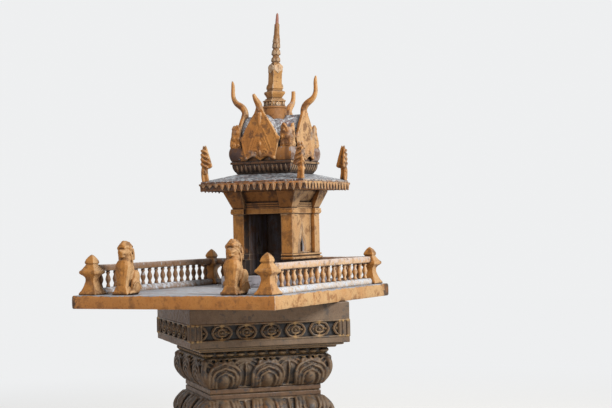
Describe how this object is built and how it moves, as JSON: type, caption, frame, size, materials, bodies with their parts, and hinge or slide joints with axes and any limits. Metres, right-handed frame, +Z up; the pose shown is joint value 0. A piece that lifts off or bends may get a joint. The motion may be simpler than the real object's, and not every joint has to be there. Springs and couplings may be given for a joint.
{
  "type": "spirit house",
  "caption": "Cast spirit house: a small shrine with eaves, leaf gables and a spire on a railed platform, on a turned square lotus pedestal.",
  "frame": {"origin": "middle of the ground plinth's underside, on the floor", "axes": "+Z up, the house front and the open side of the platform face -Y, +X to the right seen from the front"},
  "size_m": [0.9472, 1.0046, 1.818],
  "materials": {
    "gold_paint": "weathered matt gold paint on cast concrete",
    "bronze_paint": "dark bronze-brown paint on cast concrete",
    "worn_concrete": "bare weathered grey concrete",
    "dark_paint": "dark brown paint on cast concrete"
  },
  "bodies": {
    "root": {"balustrade_back": "gold_paint", "balustrade_left": "gold_paint", "balustrade_right": "gold_paint", "base_band_back": "gold_paint", "base_band_left": "gold_paint", "base_band_right": "gold_paint", "base_rosettes": "bronze_paint", "capital_slab": "gold_paint", "corner_piers": "gold_paint", "corner_posts": "gold_paint", "cornice": "gold_paint", "dado_back": "dark_paint", "dado_left": "dark_paint", "dado_right": "dark_paint", "eaves_flames": "gold_paint", "eaves_roof": "gold_paint", "gable_back": "gold_paint", "gable_front": "gold_paint", "gable_horns": "gold_paint", "gable_left": "gold_paint", "gable_right": "gold_paint", "ground_plinth": "bronze_paint", "house_plinth": "worn_concrete", "lion_left": "gold_paint", "lion_right": "gold_paint", "pedestal_base_block": "bronze_paint", "pedestal_base_lotus": "bronze_paint", "pedestal_base_steps": "bronze_paint", "pedestal_top_block": "bronze_paint", "pedestal_top_lotus": "bronze_paint", "pedestal_top_steps": "bronze_paint", "pedestal_waist": "bronze_paint", "petal_fringe": "gold_paint", "platform_slab": "worn_concrete", "spire": "gold_paint", "tier_flames": "gold_paint", "tier_foot": "gold_paint", "tier_hull": "gold_paint", "tier_roof": "gold_paint", "top_rosettes": "bronze_paint", "tower_shaft": "gold_paint", "tower_tiers": "gold_paint", "wall_back": "gold_paint", "wall_left": "gold_paint", "wall_right": "gold_paint"}
  },
  "joints": []
}
